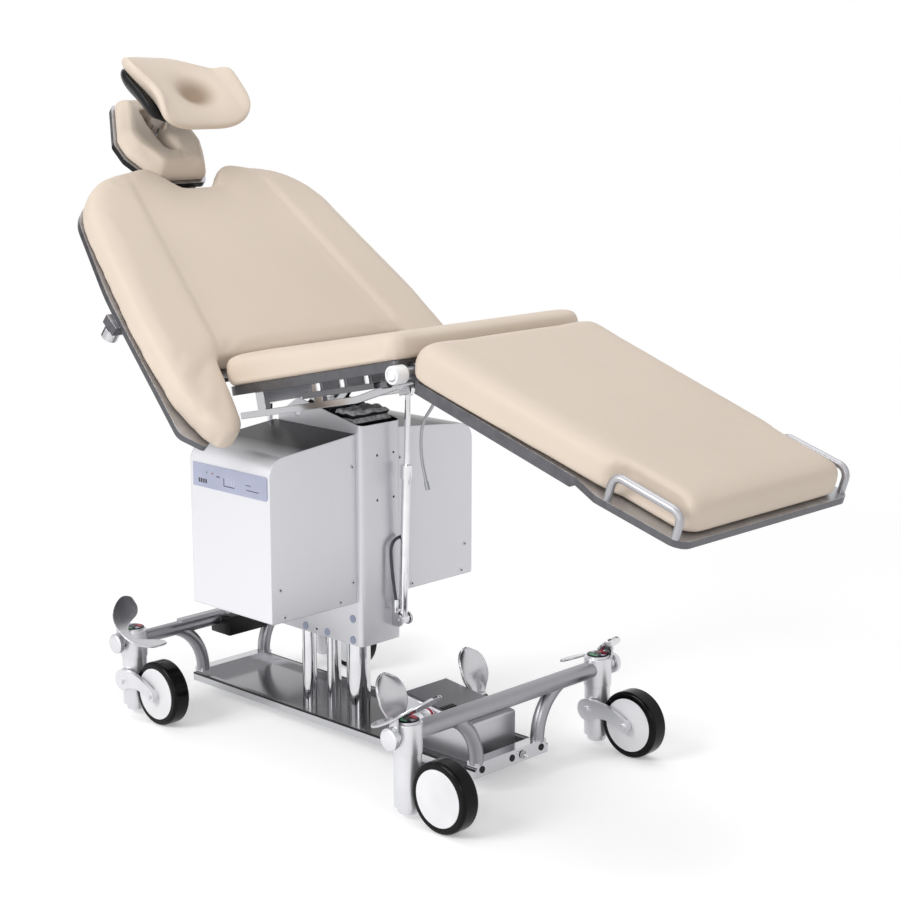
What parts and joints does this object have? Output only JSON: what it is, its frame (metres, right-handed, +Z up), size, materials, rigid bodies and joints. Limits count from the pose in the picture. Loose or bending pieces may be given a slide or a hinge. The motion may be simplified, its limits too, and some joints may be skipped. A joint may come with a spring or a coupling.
{
  "type": "operating table",
  "caption": "Wheeled operating table with a lifting column, tilting seat, folding backrest and leg section, a ball-mounted head rest and lockable swivel castors.",
  "frame": {"origin": "on the floor below the middle of the table's overall box", "axes": "+X towards the foot end, +Y to the patient's left, +Z up"},
  "size_m": [1.6246, 0.7514, 1.2691],
  "materials": {
    "upholstery": "satin",
    "stainless": "satin",
    "chrome": "polished",
    "frame_grey": "satin",
    "castor_silver": "satin",
    "tyre": "gloss",
    "wheel_disc": "satin",
    "black_plastic": "satin",
    "white_plastic": "satin",
    "panel_blue": "satin",
    "plate_dark": "satin",
    "rubber": "matte"
  },
  "bodies": {
    "base": {"base_plate": "stainless", "base_frame_foot": "frame_grey", "base_frame_head": "frame_grey", "castor_sleeves": "castor_silver", "pump_housing": "stainless", "end_bar_plugs": "black_plastic", "pump_valve": "white_plastic", "lift_tubes": "chrome"},
    "lock_foot": {"lock_shaft_foot": "stainless"},
    "lock_head": {"lock_shaft_head": "stainless"},
    "lift_pedal_near": {"lift_pedal_near": "stainless"},
    "lift_pedal_far": {"lift_pedal_far": "stainless"},
    "head_lever": {"head_lever": "white_plastic"},
    "column": {"column_casing": "stainless", "side_box_far": "stainless", "side_box_near": "stainless", "control_panel": "panel_blue", "cover_screws": "stainless", "gaiter": "rubber", "spring_brackets": "stainless"},
    "front_tube": {"front_spring_tube": "chrome", "release_hose": "white_plastic"},
    "front_rod": {"front_spring_rod": "chrome"},
    "rear_tube": {"rear_spring_tube": "chrome"},
    "rear_rod": {"rear_spring_rod": "chrome"},
    "seat": {"seat_frame": "stainless", "seat_plate": "plate_dark", "hinge_axles": "stainless", "seat_cushion": "upholstery", "accessory_rails": "stainless"},
    "release_lever": {"release_lever": "castor_silver"},
    "leg": {"leg_plate": "plate_dark", "leg_handles": "castor_silver", "leg_cushion": "upholstery"},
    "back": {"back_cushion": "upholstery", "back_plate": "plate_dark"},
    "back_knob": {"back_knob": "black_plastic"},
    "head_section": {"head_cushion": "upholstery", "head_plate": "plate_dark"},
    "head_clamp": {"head_clamp": "chrome"},
    "head_ball": {"head_ball": "chrome"},
    "head_rest": {"head_rest_pad": "upholstery", "head_rest_shell": "black_plastic"},
    "castor_foot_near": {"castor_post_foot_near": "castor_silver"},
    "pad_foot_near": {"floor_pad_foot_near": "castor_silver"},
    "wheel_foot_near": {"wheel_hub_foot_near": "wheel_disc", "wheel_tyre_foot_near": "tyre"},
    "castor_foot_far": {"castor_post_foot_far": "castor_silver"},
    "pad_foot_far": {"floor_pad_foot_far": "castor_silver"},
    "wheel_foot_far": {"wheel_hub_foot_far": "wheel_disc", "wheel_tyre_foot_far": "tyre"},
    "castor_head_near": {"castor_post_head_near": "castor_silver"},
    "pad_head_near": {"floor_pad_head_near": "castor_silver"},
    "wheel_head_near": {"wheel_hub_head_near": "wheel_disc", "wheel_tyre_head_near": "tyre"},
    "castor_head_far": {"castor_post_head_far": "castor_silver"},
    "pad_head_far": {"floor_pad_head_far": "castor_silver"},
    "wheel_head_far": {"wheel_hub_head_far": "wheel_disc", "wheel_tyre_head_far": "tyre"}
  },
  "joints": [
    {"name": "swivel_foot_near", "type": "hinge", "parent": "base", "child": "castor_foot_near", "pos_m": [0.26791, -0.249, 0.1], "axis": [0, 0, 1], "continuous": true},
    {"name": "roll_foot_near", "type": "hinge", "parent": "castor_foot_near", "child": "wheel_foot_near", "pos_m": [0.35591, -0.249, 0.0625], "axis": [0, 1, 0], "continuous": true},
    {"name": "pad_drop_foot_near", "type": "slide", "parent": "castor_foot_near", "child": "pad_foot_near", "axis": [0, 0, -1], "range_m": [0, 0.01]},
    {"name": "swivel_foot_far", "type": "hinge", "parent": "base", "child": "castor_foot_far", "pos_m": [0.26791, 0.249, 0.1], "axis": [0, 0, 1], "continuous": true},
    {"name": "roll_foot_far", "type": "hinge", "parent": "castor_foot_far", "child": "wheel_foot_far", "pos_m": [0.35591, 0.249, 0.0625], "axis": [0, 1, 0], "continuous": true},
    {"name": "pad_drop_foot_far", "type": "slide", "parent": "castor_foot_far", "child": "pad_foot_far", "axis": [0, 0, -1], "range_m": [0, 0.01]},
    {"name": "swivel_head_near", "type": "hinge", "parent": "base", "child": "castor_head_near", "pos_m": [-0.49609, -0.249, 0.1], "axis": [0, 0, 1], "continuous": true},
    {"name": "roll_head_near", "type": "hinge", "parent": "castor_head_near", "child": "wheel_head_near", "pos_m": [-0.40809, -0.249, 0.0625], "axis": [0, 1, 0], "continuous": true},
    {"name": "pad_drop_head_near", "type": "slide", "parent": "castor_head_near", "child": "pad_head_near", "axis": [0, 0, -1], "range_m": [0, 0.01]},
    {"name": "swivel_head_far", "type": "hinge", "parent": "base", "child": "castor_head_far", "pos_m": [-0.49609, 0.249, 0.1], "axis": [0, 0, 1], "continuous": true},
    {"name": "roll_head_far", "type": "hinge", "parent": "castor_head_far", "child": "wheel_head_far", "pos_m": [-0.40809, 0.249, 0.0625], "axis": [0, 1, 0], "continuous": true},
    {"name": "pad_drop_head_far", "type": "slide", "parent": "castor_head_far", "child": "pad_head_far", "axis": [0, 0, -1], "range_m": [0, 0.01]},
    {"name": "lock_foot", "type": "hinge", "parent": "base", "child": "lock_foot", "pos_m": [0.26791, 0, 0.15], "axis": [0, 1, 0], "range_deg": [0, 30]},
    {"name": "lock_head", "type": "hinge", "parent": "base", "child": "lock_head", "pos_m": [-0.49609, 0, 0.15], "axis": [0, -1, 0], "range_deg": [0, 30]},
    {"name": "press_pedal_near", "type": "hinge", "parent": "base", "child": "lift_pedal_near", "pos_m": [0.09991, -0.111, 0.084], "axis": [0, -1, 0], "range_deg": [-12, 12], "stiffness_Nm_per_rad": 4},
    {"name": "press_pedal_far", "type": "hinge", "parent": "base", "child": "lift_pedal_far", "pos_m": [0.09991, 0.111, 0.084], "axis": [0, -1, 0], "range_deg": [-12, 12], "stiffness_Nm_per_rad": 4},
    {"name": "head_lever_turn", "type": "hinge", "parent": "base", "child": "head_lever", "pos_m": [-0.47409, -0.036, 0.172], "axis": [1, 0, 0], "range_deg": [0, 12]},
    {"name": "lift", "type": "slide", "parent": "base", "child": "column", "axis": [0, 0, 1], "range_m": [-0.14, 0.06]},
    {"name": "seat_tilt", "type": "hinge", "parent": "column", "child": "seat", "pos_m": [-0.22509, 0, 0.612], "axis": [0, -1, 0], "range_deg": [-12.4, 6]},
    {"name": "front_tube_swing", "type": "hinge", "parent": "column", "child": "front_tube", "pos_m": [-0.03709, 0.04, 0.225], "axis": [0, -1, 0], "range_deg": [-1.6, 0.8]},
    {"name": "front_rod_slide", "type": "slide", "parent": "front_tube", "child": "front_rod", "axis": [0.0361, 0, 0.9993], "range_m": [-0.0445, 0.0215]},
    {"name": "rear_tube_swing", "type": "hinge", "parent": "column", "child": "rear_tube", "pos_m": [-0.31209, -0.046, 0.225], "axis": [0, -1, 0], "range_deg": [-0.7, 0.35]},
    {"name": "rear_rod_slide", "type": "slide", "parent": "rear_tube", "child": "rear_rod", "axis": [0, 0, 1], "range_m": [-0.0095, 0.019]},
    {"name": "release_lever_pull", "type": "hinge", "parent": "seat", "child": "release_lever", "pos_m": [0.04165, 0.058, 0.70318], "axis": [0, 1, 0], "range_deg": [-8, 8], "stiffness_Nm_per_rad": 1},
    {"name": "leg_fold", "type": "hinge", "parent": "seat", "child": "leg", "pos_m": [0.23201, 0, 0.75476], "axis": [0, 1, 0], "range_deg": [-29.7, 45]},
    {"name": "back_fold", "type": "hinge", "parent": "seat", "child": "back", "pos_m": [-0.23109, 0, 0.677], "axis": [0, 1, 0], "range_deg": [-52.4, 15]},
    {"name": "back_knob_turn", "type": "hinge", "parent": "back", "child": "back_knob", "pos_m": [-0.40848, -0.338, 0.77363], "axis": [-0.6428, 0, -0.766], "continuous": true},
    {"name": "head_tilt", "type": "hinge", "parent": "back", "child": "head_section", "pos_m": [-0.63209, 0, 0.98476], "axis": [0, 1, 0], "range_deg": [-25, 25]},
    {"name": "head_clamp_slide", "type": "slide", "parent": "head_section", "child": "head_clamp", "axis": [-0.766, 0, 0.6428], "range_m": [-0.04, 0.04]},
    {"name": "head_ball_pitch", "type": "hinge", "parent": "head_clamp", "child": "head_ball", "pos_m": [-0.68403, 0, 1.14844], "axis": [0, 1, 0], "range_deg": [-12, 20]},
    {"name": "head_rest_swivel", "type": "hinge", "parent": "head_ball", "child": "head_rest", "pos_m": [-0.68403, 0, 1.14844], "axis": [0.6428, 0, 0.766], "range_deg": [-25, 25]}
  ],
  "couplings": [
    {"joint": "pad_drop_foot_near", "follows": "lock_foot", "m_per_rad": 0.0188},
    {"joint": "pad_drop_foot_far", "follows": "lock_foot", "m_per_rad": 0.0188},
    {"joint": "pad_drop_head_near", "follows": "lock_head", "m_per_rad": 0.0188},
    {"joint": "pad_drop_head_far", "follows": "lock_head", "m_per_rad": 0.0188},
    {"joint": "front_tube_swing", "follows": "seat_tilt", "ratio": 0.12},
    {"joint": "front_rod_slide", "follows": "seat_tilt", "m_per_rad": 0.204},
    {"joint": "rear_tube_swing", "follows": "seat_tilt", "ratio": 0.05},
    {"joint": "rear_rod_slide", "follows": "seat_tilt", "m_per_rad": -0.0854}
  ]
}
